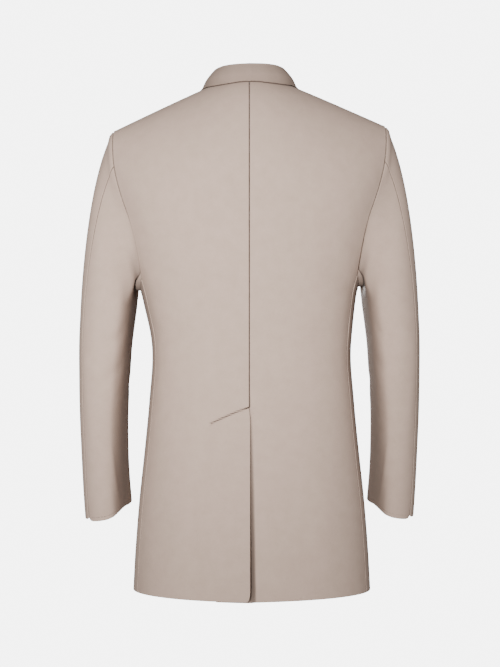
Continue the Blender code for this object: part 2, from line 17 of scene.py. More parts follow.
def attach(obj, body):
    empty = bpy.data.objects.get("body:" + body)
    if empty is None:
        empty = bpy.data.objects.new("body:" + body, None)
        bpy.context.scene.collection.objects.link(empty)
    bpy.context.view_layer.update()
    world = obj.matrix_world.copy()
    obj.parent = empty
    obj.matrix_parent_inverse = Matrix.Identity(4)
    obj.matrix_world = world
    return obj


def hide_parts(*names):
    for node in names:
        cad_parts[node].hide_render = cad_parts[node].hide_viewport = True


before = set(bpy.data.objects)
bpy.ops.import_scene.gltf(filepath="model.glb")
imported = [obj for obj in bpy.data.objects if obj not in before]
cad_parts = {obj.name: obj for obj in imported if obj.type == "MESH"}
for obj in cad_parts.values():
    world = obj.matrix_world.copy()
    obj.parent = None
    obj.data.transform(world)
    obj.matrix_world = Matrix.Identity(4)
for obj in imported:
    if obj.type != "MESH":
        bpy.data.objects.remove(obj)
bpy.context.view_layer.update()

# ---------------------------------------------------------------- sizes

CLOTH = 0.002  # thickness of the wool cloth
SEAM = 0.00015  # each panel stops this far short of its seam line
CENTRE_SEAM = 0.00001  # and this far at a panel's edge towards the middle
LIE = 0.0004  # clearance under cloth that lies on cloth

HEM_Z = -0.843
UNDERARM_Z = -0.330
SEAM_TOP_Z = -0.315  # where the side panel's seams meet the armhole
ARMHOLE_LOW_Z = -0.336

NAPE_Z = 0.012
NECK_HALF = 0.068
COLLAR_HALF = 0.081  # the shoulder line has height 0 here
SHOULDER_HALF = 0.229
SHOULDER_Z = -0.0665
SHOULDER_FALL = 0.47
SHOULDER_ROUND = 0.020
SHOULDER_DEEP = 0.17
NAPE_POWER = 0.40
SHOULDER_POWER = 0.50
SHOULDER_START = 0.12

SECTION_POWER = 2.4
SEAM_RATIO = 0.95

CENTRE_LAP = 0.022
BREAK_Z = -0.310
LAPEL_CROSS_Z = -0.222
LAP_DROP = CLOTH + 0.0007
CLOSURE_FADE_Z = (-0.180, -0.250)
CLOSURE_FADE_X = (0.060, 0.0255)

VENT_TOP_Z = -0.530
VENT_LOW_Z = -0.553
VENT_LAP = 0.058
VENT_EDGE = 0.0015
VENT_OPEN = 0.0230  # extra drop of the under-lap at the hem
VENT_FADE_Z = (-0.500, -0.529)
VENT_FOLD_X = (0.0020, 0.0064)  # where the cloth folds in: at the vent's top, at the hem
VENT_FOLD = 0.0056  # half width of that fold
VENT_LEAN = 0.035  # the cloth leans in over this width before it
VENT_LEAN_SHARE = 0.12  # by this share of the drop
VENT_COLUMNS = 36  # extra columns across the fold
VENT_CORNER = (0.0065, 0.017)  # width and height of the rounded hem corner
VENT_HANG = 0.115  # the under-lap's hem hangs lower by this share of its drop

BUTTON_RADIUS = 0.011
BUTTON_THICK = 0.0035
BUTTON_HEIGHTS = (-0.340, -0.445, -0.550)

Level = namedtuple("Level", "z half_width back_depth front_depth")
LEVELS = (
    Level(-0.843, 0.199, 0.146, 0.140),
    Level(-0.775, 0.1955, 0.142, 0.136),
    Level(-0.690, 0.189, 0.137, 0.130),
    Level(-0.606, 0.180, 0.130, 0.122),
    Level(-0.522, 0.172, 0.121, 0.115),
    Level(-0.438, 0.167, 0.115, 0.112),
    Level(-0.354, 0.1786, 0.121, 0.118),
    Level(-0.315, 0.1885, 0.126, 0.122),
    Level(-0.258, 0.206, 0.131, 0.126),
    Level(-0.187, 0.229, 0.134, 0.124),
    Level(-0.130, 0.246, 0.134, 0.116),
    Level(-0.069, 0.260, 0.131, 0.106),
    Level(0.030, 0.270, 0.128, 0.098),
)

Armhole = namedtuple("Armhole", "z back_x front_x")
ARMHOLE = (
    Armhole(-0.315, 0.1791, 0.1791),
    Armhole(-0.258, 0.1890, 0.1850),
    Armhole(-0.222, 0.1970, 0.1900),
    Armhole(-0.187, 0.2070, 0.1970),
    Armhole(-0.130, 0.2215, 0.2110),
    Armhole(-0.090, 0.2275, 0.2210),
    Armhole(SHOULDER_Z, SHOULDER_HALF, SHOULDER_HALF),
)

Section = namedtuple("Section", "z outer_x inner_x middle_y half_depth")
SLEEVE = (
    Section(-0.362, 0.2833, 0.1890, 0.006, 0.0690),
    Section(-0.421, 0.2856, 0.1965, 0.008, 0.0660),
    Section(-0.480, 0.2858, 0.2010, 0.005, 0.0630),
    Section(-0.540, 0.2855, 0.2045, -0.003, 0.0595),
    Section(-0.606, 0.2838, 0.2050, -0.015, 0.0560),
    Section(-0.660, 0.2818, 0.2035, -0.026, 0.0535),
    Section(-0.709, 0.2790, 0.2005, -0.036, 0.0520),
)
SLEEVE_POWER = 2.15
SLEEVE_INSIDE_POWER = 3.4  # the sleeve's inner side is flatter
SLEEVE_TURN = (0.019, 0.026)  # and faces the body, its back edge this much further out
SLEEVE_TURN_Z = (-0.400, -0.640)  # above and below these heights
CUFF_OUT_DROP = 0.009
CUFF_BACK_DROP = 0.012
CUFF_TILT_Z = -0.600
YOKE_STEPS = 12  # armhole steps down the back, and up the front
SIDE_STEPS = 4  # armhole steps under the arm
ALL_STEPS = 2 * YOKE_STEPS + SIDE_STEPS
ELBOW_ANGLE = math.radians(40)
ELBOW_STEP = 6
FRONT_ANGLE = math.radians(52)
FRONT_STEP = 8
UNDER_ANGLE = math.radians(148)
SLIT_TOP_Z = -0.613
SLIT_GAP = 0.0010
SLIT_CORNER_TOP = (0.020, 0.007)  # width and height of the rounded corners at the slit
SLIT_CORNER_UNDER = (0.011, 0.010)

Station = namedtuple("Station", "base_x base_y base_z fold_x fold_y fold_z edge_x edge_y edge_z")
COLLAR = (
    Station(0.000, 0.0570, 0.0148, 0.000, 0.0550, 0.0365, 0.000, 0.0695, 0.0085),
    Station(0.028, 0.0510, 0.0143, 0.027, 0.0485, 0.0360, 0.034, 0.0625, 0.0075),
    Station(0.050, 0.0345, 0.0120, 0.0460, 0.0320, 0.0340, 0.061, 0.0420, 0.0055),
    Station(0.0655, 0.0085, 0.0088, 0.0565, 0.0060, 0.0280, 0.0770, 0.0095, 0.0040),
    Station(0.0640, -0.0220, -0.0005, 0.058, -0.0230, 0.0120, 0.088, -0.0300, -0.0120),
    Station(0.0585, -0.0460, -0.0185, 0.0525, -0.0470, -0.0090, 0.094, -0.0640, -0.0430),
    Station(0.0515, -0.0615, -0.0385, 0.0460, -0.0635, -0.0330, 0.090, -0.0870, -0.0750),
)
COLLAR_FOLD = 0.0022  # radius of the fold between its stand and its fall
FALL_COLUMN = 24  # from this column on the collar lies on the cloth below
LAPEL_TOP_Z = -0.052
LAPEL_FOOT = 0.004  # its edge starts this far below and aside of the roll's foot
LAPEL_CURVE = 0.85  # how straight its edge rises, 1 for a straight line
LAPEL_INSET = 0.0006  # the roll lies this far in from the front's edge
LAPEL_ROLL = 0.002  # and stands up this much
LAPEL_POINT = (0.118, -0.098)

EDGE_STEPS = (0.0, 0.0003, 0.0007, 0.0012, 0.0019, 0.0029, 0.0045, 0.0070)  # steps in from an edge
SEAM_DEPTH = 0.0030  # a pressed seam draws the cloth in by this much
SEAM_REACH = 0.0008
SEAM_RIDGE = 0.10  # the soft ridge beside a seam, as a share of its depth
ELBOW_DEPTH = 0.0016  # the seams along the sleeve are pressed flatter
CENTRE_DEPTH = 0.0014  # and so is the back's centre seam
SLANT_DEPTH = 0.0034  # the slanted seam over the vent, and its half width
SLANT_REACH = 0.0008
SLANT_LENGTH = 0.062  # across the back
SLANT_FALL = 0.0255  # its far end is this much lower
SLANT_POWER = 1.15
ARMPIT_DEPTH = 0.011  # the sleeve's cloth sinks in beside the armhole's lower part
ARMPIT_REACH = 0.011
ARMPIT_FADE_Z = (-0.160, -0.300)
HEAD_HEIGHT = 0.0022  # the sleeve's head stands up beside the armhole's upper part
HEAD_PLACE = 0.009  # this far from the armhole
HEAD_REACH = 0.006
DEGREE = 0.0012  # one degree round a sleeve, as a length
PANEL_WIDTH = 0.24  # usual widths, which place the columns near the edges
SIDE_WIDTH = 0.10
SLEEVE_WIDTH = 0.15
LAPEL_WIDTH = 0.08
LAPEL_LENGTH = 0.26
LAPEL_COLUMNS = 20
LAPEL_ROWS = 48
SIDE_COLUMNS = 20
SLEEVE_TOP_COLUMNS = 34
SLEEVE_UNDER_COLUMNS = 44
PANEL_COLUMNS = 44
PANEL_ROW = 0.009  # height of a row on plain cloth
VENT_ROW = 0.0006  # and across the slanted seam
VENT_SHARES = (0.20, 0.33)  # the extra columns lie between these shares of the panel

# a button's outline: shares of its radius and thickness, from its back to its face
BUTTON_PROFILE = ((0.80, 0.0), (0.94, 0.10), (1.0, 0.32), (1.0, 0.66), (0.97, 0.88),
                  (0.91, 1.0), (0.82, 0.99), (0.74, 0.86), (0.66, 0.70), (0.55, 0.63))
BUTTON_WEB = 0.60  # thickness at the middle of its sunk face
BUTTON_SIDES = 48
HOLE_RADIUS = 0.0009
HOLE_ASIDE = 0.0021
THREAD_RADIUS = 0.00045
THREAD_TOP = 0.64
STRAND_LIFT = 0.16  # the second strand crosses over the first
THREAD_PATH = ((0.0, 0.35), (0.02, 0.9), (0.25, 1.12), (0.75, 1.12), (0.98, 0.9), (1.0, 0.35))

MIRROR = np.array([-1.0, 1.0, 1.0])

# the cloth's two tones, and painted shade on the collar: a factor that makes its wool darker than
# the rest
WOOL_DARK = (0.437, 0.319, 0.257)
WOOL_PALE = (0.467, 0.344, 0.279)
COLLAR_PAINTED_SHADE = 0.67

# painted shade, as ambient occlusion: the cloth's colour is made darker where other cloth is
# within reach; it is plain where the plain share of the space is open, and falls to the least
# share at the closed one
Nearness = namedtuple("Nearness", "reach closed plain least")
GROOVE_PAINTED_SHADE = Nearness(reach=0.006, closed=0.35, plain=0.85, least=0.48)
NEAR_CLOTH_PAINTED_SHADE = Nearness(reach=0.070, closed=0.35, plain=0.93, least=0.55)

# the coat hangs a little unevenly in the photo: its right side is higher
TILT = 0.0185  # rise for each metre towards the wearer's right
TILT_REACH = 0.235  # and no further out than this
TILT_FADE_Z = (-0.600, -0.340)  # the body takes the tilt up between these heights
CUFF_TILT = 0.45  # share of the tilt that is left at the cuffs
HEM_RISE = 0.0058  # the hem rises this much to the sides
HEM_SAG = 0.0011  # and sags this much in the middle
HEM_POWER = 1.2
SWAY = 0.0040  # the body's sides hang this much to the wearer's right
SWAY_FADE_Z = (-0.338, -0.425)
HEM_FADE_Z = (-0.700, HEM_Z)

# soft creases: a line from (x0, z0) to (x1, z1), its half width and its depth,
# where a ridge has a positive depth and a trough a negative one
Crease = namedtuple("Crease", "x0 z0 x1 z1 half_width depth")
BACK_CREASES = (
    Crease(x0=0.176, z0=-0.345, x1=0.120, z1=-0.300, half_width=0.013, depth=-0.0016),
    Crease(x0=0.172, z0=-0.395, x1=0.095, z1=-0.425, half_width=0.016, depth=-0.0013),
    Crease(x0=0.150, z0=-0.470, x1=0.060, z1=-0.455, half_width=0.019, depth=0.0010),
    Crease(x0=0.205, z0=-0.180, x1=0.168, z1=-0.290, half_width=0.014, depth=-0.0014),
    Crease(x0=0.110, z0=-0.620, x1=0.125, z1=-0.820, half_width=0.026, depth=0.0013),
)
FRONT_CREASES = (
    Crease(x0=0.172, z0=-0.340, x1=0.110, z1=-0.305, half_width=0.014, depth=-0.0018),
    Crease(x0=0.160, z0=-0.410, x1=0.030, z1=-0.440, half_width=0.017, depth=-0.0016),
    Crease(x0=0.150, z0=-0.465, x1=0.035, z1=-0.452, half_width=0.015, depth=0.0012),
    Crease(x0=0.195, z0=-0.170, x1=0.165, z1=-0.285, half_width=0.013, depth=-0.0015),
    Crease(x0=0.120, z0=-0.600, x1=0.135, z1=-0.820, half_width=0.028, depth=0.0014),
)
# on a sleeve: angle in degrees and height along it
Fold = namedtuple("Fold", "angle0 z0 angle1 z1 half_width depth")
SLEEVE_FOLDS = (
    Fold(angle0=150, z0=-0.400, angle1=70, z1=-0.440, half_width=0.012, depth=-0.0022),
    Fold(angle0=165, z0=-0.455, angle1=95, z1=-0.480, half_width=0.010, depth=-0.0018),
    Fold(angle0=215, z0=-0.430, angle1=290, z1=-0.475, half_width=0.011, depth=-0.0032),
    Fold(angle0=200, z0=-0.490, angle1=285, z1=-0.515, half_width=0.011, depth=-0.0028),
    Fold(angle0=30, z0=-0.330, angle1=60, z1=-0.560, half_width=0.016, depth=0.0012),
    Fold(angle0=120, z0=-0.600, angle1=150, z1=-0.690, half_width=0.014, depth=0.0011),
)

# ------------------------------------------------------------ helpers


def through(places, values, at):
    """Smooth cubic through (place, value) pairs, held flat past both ends."""
    places, values = np.asarray(places, float), np.asarray(values, float)
    if places[0] > places[-1]:
        places, values = places[::-1], values[::-1]
    last = len(places) - 1
    low = np.maximum(np.arange(last + 1) - 1, 0)
    high = np.minimum(np.arange(last + 1) + 1, last)
    slopes = (values[high] - values[low]) / (places[high] - places[low])
    at = np.clip(at, places[0], places[-1])
    i = np.clip(np.searchsorted(places, at, side="right") - 1, 0, last - 1)
    span = places[i + 1] - places[i]
    t = (at - places[i]) / span
    rise = values[i + 1] - values[i]
    a = slopes[i] * span - rise
    b = rise - slopes[i + 1] * span
    return values[i] + t * rise + t * (1 - t) * ((1 - t) * a + t * b)


def smooth(table, name, z):
    return through([row.z for row in table], [getattr(row, name) for row in table], z)


def ramp(value, start, end):
    """0 at start, 1 at end, with soft ends."""
    t = np.clip((value - start) / (end - start), 0.0, 1.0)
    return t * t * (3 - 2 * t)


def mix(a, b, t):
    return a + (b - a) * t


def unit(vectors):
    length = np.linalg.norm(vectors, axis=-1, keepdims=True)
    return vectors / np.maximum(length, 1e-12)


def hermite(start, go, end, come, t):
    return (
        start * (2 * t**3 - 3 * t**2 + 1)
        + go * (t**3 - 2 * t**2 + t)
        + end * (3 * t**2 - 2 * t**3)
        + come * (t**3 - t**2)
    )


def with_edges(length, inner_steps):
    """Places from 0 to 1 along a strip, closer together at both of its ends."""
    ends = np.array(EDGE_STEPS) / length
    middle = np.linspace(ends[-1], 1 - ends[-1], inner_steps + 1)[1:-1]
    return np.concatenate([ends, middle, (1 - ends)[::-1]])


def along_rows(grid, axis):
    """Distance run along a grid from its first line of points."""
    step = np.linalg.norm(np.diff(grid, axis=axis), axis=-1)
    pad = [(0, 0), (0, 0)]
    pad[axis] = (1, 0)
    return np.cumsum(np.pad(step, pad), axis=axis)


def edge_distances(grid):
    """Distance of each point from the first and last row, and column."""
    down, across = along_rows(grid, 0), along_rows(grid, 1)
    return down, down[-1:] - down, across, across[:, -1:] - across


def nearest_edge(distances):
    """Distance of each point from the nearest of the four edges."""
    return np.minimum.reduce(distances)


def lifted(points, rise):
    """The points, each moved up by its own rise."""
    return points + np.stack([0 * rise, 0 * rise, rise], axis=-1)


def seam_dip(distance, depth=SEAM_DEPTH, reach=SEAM_REACH):
    """How far a pressed seam draws the cloth in, less the soft ridge beside it."""
    groove = np.exp(-((distance / reach) ** 2))
    ridge = np.exp(-(((distance - 3.5 * reach) / (1.5 * reach)) ** 2))
    return depth * (groove - SEAM_RIDGE * ridge)


def rounding(distance):
    """How far the face falls at a rounded edge this far away."""
    t = np.clip(distance / (CLOTH / 2), 0.0, 1.0)
    return CLOTH / 2 * (1 - np.sqrt(1 - (1 - t) ** 2))


def two_faces(flat, normals, raised, edge):
    """Outer and inner face of cloth that is raised this much, round at its edges."""
    outer = flat + normals * (raised - rounding(edge))[..., None]
    inner = flat + normals * (raised - CLOTH + rounding(edge))[..., None]
    return outer, inner


def crease_height(creases, u, v):
    """Height of all the creases together at these places of a surface."""
    height = np.zeros_like(u)
    for u0, v0, u1, v1, half_width, depth in creases:
        line = np.array([u1 - u0, v1 - v0])
        length = np.hypot(*line)
        t = ((u - u0) * line[0] + (v - v0) * line[1]) / length**2
        off = ((u - u0) * line[1] - (v - v0) * line[0]) / length
        off = off + 0.15 * half_width * np.sin(7 * t)
        fade = ramp(t, -0.25, 0.35) * ramp(t, 1.25, 0.65)
        height += depth * fade * np.exp(-((off / half_width) ** 2))
    return height


# ------------------------------------------------------------ body skin


def shoulder_line(x):
    top = math.hypot(SHOULDER_FALL * COLLAR_HALF, SHOULDER_ROUND)
    return top - np.hypot(SHOULDER_FALL * x, SHOULDER_ROUND)


def over_shoulder(x, z):
    drop = np.clip((shoulder_line(x) - z) / SHOULDER_DEEP, 0.0, 1.0)
    power = mix(NAPE_POWER, SHOULDER_POWER, ramp(np.abs(x), 0.0, SHOULDER_START))
    return (1 - (1 - drop) ** 2) ** power


def depth_at(z, front):
    return smooth(LEVELS, "front_depth" if front else "back_depth", z)


def skin(x, z, front):
    width = smooth(LEVELS, "half_width", z)
    share = np.maximum(1 - (np.abs(x) / width) ** SECTION_POWER, 0.0)
    y = depth_at(z, front) * share ** (1 / SECTION_POWER) * over_shoulder(x, z)
    return np.stack(np.broadcast_arrays(x, -y if front else y, z), axis=-1)


def skin_value(p, front):
    x, y, z = np.moveaxis(p, -1, 0)
    width = smooth(LEVELS, "half_width", z)
    depth = depth_at(z, front) * np.maximum(over_shoulder(x, z), 1e-4)
    return (np.abs(x) / width) ** SECTION_POWER + (np.abs(y) / depth) ** SECTION_POWER


def skin_normal(p, front):
    step = 1e-5
    around = [skin_value(p + a, front) - skin_value(p - a, front) for a in np.eye(3) * step]
    normal = unit(np.stack(around, axis=-1))
    slope = SHOULDER_FALL * np.sign(p[..., 0])
    ridge = unit(np.stack([slope, np.zeros_like(slope), np.ones_like(slope)], axis=-1))
    near = shoulder_line(p[..., 0]) - p[..., 2] < 0.0008
    return np.where(near[..., None], ridge, normal)


def body_normals(p):
    """Normals of points on the back's or the front's surface, whichever they are on."""
    front = p[..., 1] < 0
    return np.where(front[..., None], skin_normal(p, True), skin_normal(p, False))


def side_points(angle, z):
    """Points on the body's section, from the back (0) round to the front."""
    width = smooth(LEVELS, "half_width", z)
    depth = np.where(angle > math.pi / 2, depth_at(z, True), depth_at(z, False))
    power = 2 / SECTION_POWER
    x = width * np.sin(angle) ** power
    y = depth * np.sign(np.cos(angle)) * np.abs(np.cos(angle)) ** power
    return np.stack(np.broadcast_arrays(x, y, z), axis=-1)


NECK_Z = float(shoulder_line(NECK_HALF))
SEAM_ANGLE = math.asin(SEAM_RATIO ** (SECTION_POWER / 2))
NECK_PLACE = 4 / 12  # place across a back panel where its neckline ends


def share_at(place):
    """Share of a panel's width at a place across it, evenly spaced round the body."""
    return np.sin(SEAM_ANGLE * place) ** (2 / SECTION_POWER) / SEAM_RATIO


def place_at(share):
    """The place across a panel that has this share of its width."""
    return np.arcsin((share * SEAM_RATIO) ** (SECTION_POWER / 2)) / SEAM_ANGLE


# --------------------------------------------------------------- panels


def inner_x(z, front, under):
    """Centre edge of a panel: centre seam and vent, or closure and roll line."""
    if front:
        roll = mix(-CENTRE_LAP, NECK_HALF, (z - BREAK_Z) / (NECK_Z - BREAK_Z))
        return np.where(z < BREAK_Z, -CENTRE_LAP, roll)
    if under:
        return -VENT_LAP * np.clip((VENT_TOP_Z - z) / (VENT_TOP_Z - VENT_LOW_Z), 0, 1)
    return -VENT_EDGE * ramp(z, VENT_TOP_Z, VENT_LOW_Z)


def outer_x(z, front):
    seam = smooth(LEVELS, "half_width", z) * SEAM_RATIO
    armhole = smooth(ARMHOLE, "front_x" if front else "back_x", z)
    return np.where(z <= SEAM_TOP_Z, seam, armhole)


def lap_drop(x, z, front):
    """How far an under-lap lies inside the body's surface."""
    if front:
        return LAP_DROP * ramp(z, *CLOSURE_FADE_Z) * ramp(x, *CLOSURE_FADE_X)
    open_share = np.clip((VENT_TOP_Z - z) / (VENT_TOP_Z - HEM_Z), 0, 1)
    deep = (LAP_DROP + VENT_OPEN * open_share) * ramp(z, *VENT_FADE_Z)
    fold_x = mix(*VENT_FOLD_X, open_share)
    lean = ramp(x, fold_x + VENT_LEAN, fold_x)
    fold = ramp(x, fold_x + VENT_FOLD, fold_x - VENT_FOLD)
    return deep * mix(fold, lean, VENT_LEAN_SHARE)


def panel_lines(front):
    """Centre height and rise of each row, from the hem to the shoulder."""
    hem = HEM_Z + np.array(EDGE_STEPS)
    plain = np.arange(hem[-1] + PANEL_ROW, VENT_LOW_Z - 0.008, PANEL_ROW)
    vent = np.arange(VENT_LOW_Z - 0.006, VENT_TOP_Z + 0.008, VENT_ROW if not front else PANEL_ROW)
    upper = np.arange(vent[-1] + PANEL_ROW, UNDERARM_Z - 0.004, PANEL_ROW)
    low = np.concatenate([hem, plain, vent, upper])
    turns = 1 - np.linspace(0, 1, 44)
    turns = np.concatenate([turns[:-1], [0.018, 0.012, 0.006, 0.0]])
    rise = 1 - turns**2
    top = mix(UNDERARM_Z, NECK_Z if front else NAPE_Z, rise)
    return np.concatenate([low, top]), np.concatenate([np.zeros_like(low), rise])


def panel_points(front, under, places, z_centre, rise):
    """Points of a panel at +X: places across it, and each row's height and rise."""
    low_share = (z_centre - HEM_Z) / (UNDERARM_Z - HEM_Z)
    z_edge = np.where(rise > 0, mix(SEAM_TOP_Z, SHOULDER_Z, rise),
                      mix(HEM_Z, SEAM_TOP_Z, low_share))
    x_edge = outer_x(z_edge, front)[:, None]
    x_start = inner_x(z_centre, front, under)[:, None]
    rise, z_centre, z_edge = rise[:, None], z_centre[:, None], z_edge[:, None]
    share = share_at(places)[None, :]
    neck_share = 0.0 if front else float(share_at(NECK_PLACE))
    beyond = np.clip((share - neck_share) / (1 - neck_share), 0, 1)
    on_top = mix(NECK_HALF, SHOULDER_HALF, beyond)
    z_top = shoulder_line(on_top)
    if not front:
        on_neck = np.clip(NECK_HALF * share / neck_share, 0, NECK_HALF)
        neck_z = mix(NECK_Z, NAPE_Z, np.cos(math.pi / 2 * on_neck / NECK_HALF))
        z_top = np.where(share <= neck_share, neck_z, z_top)
        on_top = np.where(share <= neck_share, on_neck, on_top)
    x = mix(mix(x_start, x_edge, share), on_top, rise**3)
    level = mix(z_centre, z_edge, share)
    straight = mix(NECK_Z if front else NAPE_Z, SHOULDER_Z, share)
    arched = z_top - (1 - rise) * (straight - mix(UNDERARM_Z, SEAM_TOP_Z, share))
    z = np.minimum(mix(level, arched, rise), shoulder_line(x))
    return skin(x, z, front)


def slanted_seam(x, z):
    """Distance from the slanted seam that holds the vent's under-lap."""
    along = np.clip(x / SLANT_LENGTH, 0, 1)
    line = VENT_TOP_Z - SLANT_FALL * along**SLANT_POWER
    beyond = np.maximum(x - SLANT_LENGTH, 0) + np.maximum(-x, 0)
    return np.hypot(z - line, beyond)


def panel(front, under):
    """Outer and inner points of half the front or back, at +X, and its normals."""
    z_centre, rise = panel_lines(front)
    places = with_edges(PANEL_WIDTH, PANEL_COLUMNS)
    if under and not front:
        extra = place_at(np.linspace(*VENT_SHARES, VENT_COLUMNS))
        places = np.sort(np.concatenate([places, extra]))
    flat = panel_points(front, under, places, z_centre, rise)
    normals = skin_normal(flat, front)
    x, z = flat[..., 0], flat[..., 2]
    distances = edge_distances(flat)
    hem, top, centre, side = distances
    raised = crease_height(FRONT_CREASES if front else BACK_CREASES, x, z)
    if under:
        drop = lap_drop(x, z, front)
        raised -= drop
        if not front:
            flat = lifted(flat, -drop * VENT_HANG * ramp(hem, 0.2, 0.0))
    raised -= seam_dip(side)
    if not front:
        above_vent = ramp(z, VENT_TOP_Z - 0.004, VENT_TOP_Z + 0.002)
        raised -= seam_dip(centre, CENTRE_DEPTH) * above_vent
    raised -= seam_dip(top) * (1.0 if front else ramp(x, 0.05, 0.08))
    if not front and not under:
        raised -= seam_dip(slanted_seam(x, z), SLANT_DEPTH, SLANT_REACH)
        flat = lifted(flat, rounded_corner(x + VENT_EDGE, hem, *VENT_CORNER))
    outer, inner = two_faces(flat, normals, raised, nearest_edge(distances))
    for grid in (outer, inner):
        pull_in(grid, CENTRE_SEAM)
    return outer, inner, normals


def rounded_corner(aside, above, width, height):
    """How far a piece's low edge rises at a rounded corner."""
    t = np.clip(1 - aside / width, 0, 1)
    return height * (1 - np.sqrt(1 - t**2)) * ramp(above, 0.03, 0.0)


def pull_in(grid, first=SEAM):
    """Leaves clearance at the panel's top and sides, where the first has its own."""
    edges = ((np.s_[:, 0], np.s_[:, 1], first), (np.s_[:, -1], np.s_[:, -2], SEAM),
             (np.s_[-1], np.s_[-2], SEAM))
    for edge, near, gap in edges:
        grid[edge] += unit(grid[near] - grid[edge]) * gap


def side_panel():
    """Outer and inner points of a side panel, from its back seam forwards."""
    low = np.concatenate([HEM_Z + np.array(EDGE_STEPS),
                          np.arange(HEM_Z + 0.012, UNDERARM_Z - 0.006, PANEL_ROW),
                          UNDERARM_Z - np.array(EDGE_STEPS[::-1])])
    share = ((low - HEM_Z) / (UNDERARM_Z - HEM_Z))[:, None]
    across = with_edges(SIDE_WIDTH, SIDE_COLUMNS)[None, :]
    angle = mix(SEAM_ANGLE, math.pi - SEAM_ANGLE, across)
    dip = (SEAM_TOP_Z - ARMHOLE_LOW_Z) * np.sin(math.pi * across)
    flat = side_points(angle, mix(HEM_Z, SEAM_TOP_Z - dip, share))
    distances = edge_distances(flat)
    _, top, back, ahead = distances
    raised = -seam_dip(back) - seam_dip(ahead) - seam_dip(top)
    outer, inner = two_faces(flat, body_normals(flat), raised, nearest_edge(distances))
    for grid in (outer, inner):
        pull_in(grid)
    return outer, inner


# --------------------------------------------------------------- sleeve


def armhole_at(steps):
    """Points of the armhole, from the shoulder down the back and up the front."""
    points = []
    for step in np.mod(steps, ALL_STEPS):
        if step <= YOKE_STEPS or step >= YOKE_STEPS + SIDE_STEPS:
            front = step > YOKE_STEPS
            turn = (ALL_STEPS - step if front else step) / YOKE_STEPS
            rise = np.array([1 - turn**2])
            z = mix(UNDERARM_Z, NECK_Z if front else NAPE_Z, rise)
            one = panel_points(front, False, np.array([1.0]), z, np.maximum(rise, 1e-9))
            points.append(one[0, 0])
        else:
            across = (step - YOKE_STEPS) / SIDE_STEPS
            angle = mix(SEAM_ANGLE, math.pi - SEAM_ANGLE, across)
            dip = (SEAM_TOP_Z - ARMHOLE_LOW_Z) * math.sin(math.pi * across)
            points.append(side_points(np.array(angle), np.array(SEAM_TOP_Z - dip)))
    return np.array(points)


def sleeve_points(z, angle):
    """Points of the sleeve's lower part; angle 0 is outermost, a quarter the back."""
    out_x, in_x = smooth(SLEEVE, "outer_x", z), smooth(SLEEVE, "inner_x", z)
    inside = ramp(-np.cos(angle), -0.1, 0.6)
    power = 2 / mix(SLEEVE_POWER, SLEEVE_INSIDE_POWER, inside)
    across = np.sign(np.cos(angle)) * np.abs(np.cos(angle)) ** power
    deep = np.sign(np.sin(angle)) * np.abs(np.sin(angle)) ** power
    x = (out_x + in_x) / 2 + (out_x - in_x) / 2 * across
    turn = mix(*SLEEVE_TURN, ramp(z, *SLEEVE_TURN_Z))
    x = x + turn * np.clip(-across, 0, 1) * (0.5 * deep + 0.25)
    y = smooth(SLEEVE, "middle_y", z) + smooth(SLEEVE, "half_depth", z) * deep
    lean = ramp(z, CUFF_TILT_Z, SLEEVE[-1].z)
    drop = (CUFF_OUT_DROP * np.cos(angle) + CUFF_BACK_DROP * np.sin(angle)) * lean
    return np.stack(np.broadcast_arrays(x, y, z - drop), axis=-1)


def sleeve_angles(steps):
    """Angle round the sleeve at each armhole step: its seams keep to fixed ones."""
    whole = 2 * math.pi
    marks = [-FRONT_STEP, 0, ELBOW_STEP, YOKE_STEPS, YOKE_STEPS + SIDE_STEPS,
             ALL_STEPS - FRONT_STEP, ALL_STEPS, ALL_STEPS + ELBOW_STEP]
    turns = [-FRONT_ANGLE, 0, ELBOW_ANGLE, UNDER_ANGLE, whole - UNDER_ANGLE,
             whole - FRONT_ANGLE, whole, whole + ELBOW_ANGLE]
    return through(marks, turns, steps)


def away_from_body(steps, loop, outward):
    """The way from the body into the armhole at each step, along the surface."""
    along = armhole_at(steps + 0.02) - armhole_at(steps - 0.02)
    away = unit(np.cross(outward, along))
    middle = armhole_at(np.arange(0, ALL_STEPS, 1.0)).mean(axis=0)
    away *= np.sign(np.sum(away * (middle - loop), axis=1))[:, None]
    return away


def sleeve_rows(angles, loop, away):
    """Rows of the sleeve: round its head from the armhole, then down to the cuff."""
    first_z, last_z = SLEEVE[0].z, SLEEVE[-1].z
    end = sleeve_points(np.full_like(angles, first_z), angles)
    chord = np.linalg.norm(end - loop, axis=1)[:, None]
    top = np.maximum(np.cos(angles), 0)[:, None]
    under = ramp(np.abs(np.mod(angles, 2 * math.pi) - math.pi), 1.2, 0.3)[:, None]
    bend = np.concatenate([0.25 - 0.30 * top, 0 * top, -1.0 * top], axis=1)
    outward = unit(away * mix(0.9, 0.2, under) + bend)
    go = outward * chord * mix(0.95 - 0.20 * top, 0.35, under)
    come = np.array([0.05, 0.0, -1.0]) * chord * 0.9
    cap = [0.0, 0.003, 0.007, 0.013, 0.022, 0.036] + list(np.linspace(0.06, 1, 34)[:-1])
    rows = [hermite(loop, go, end, come, t) for t in cap]
    arm = np.concatenate([np.linspace(first_z, last_z + 0.006, 52),
                          last_z + np.array(EDGE_STEPS[::-1])])
    rows += [sleeve_points(np.full_like(angles, z), angles) for z in arm]
    flat = np.array(rows)
    flat[0] += away * SEAM
    return flat


def sleeve_normals(flat):
    """Outward normals of the sleeve's surface."""
    normals = unit(np.cross(np.gradient(flat, axis=0), np.gradient(flat, axis=1)))
    cuff = SLEEVE[-1]
    centre = np.array([(cuff.outer_x + cuff.inner_x) / 2, cuff.middle_y, cuff.z])
    if np.sum(normals[-1] * (flat[-1] - centre)) < 0:
        normals = -normals
    return normals


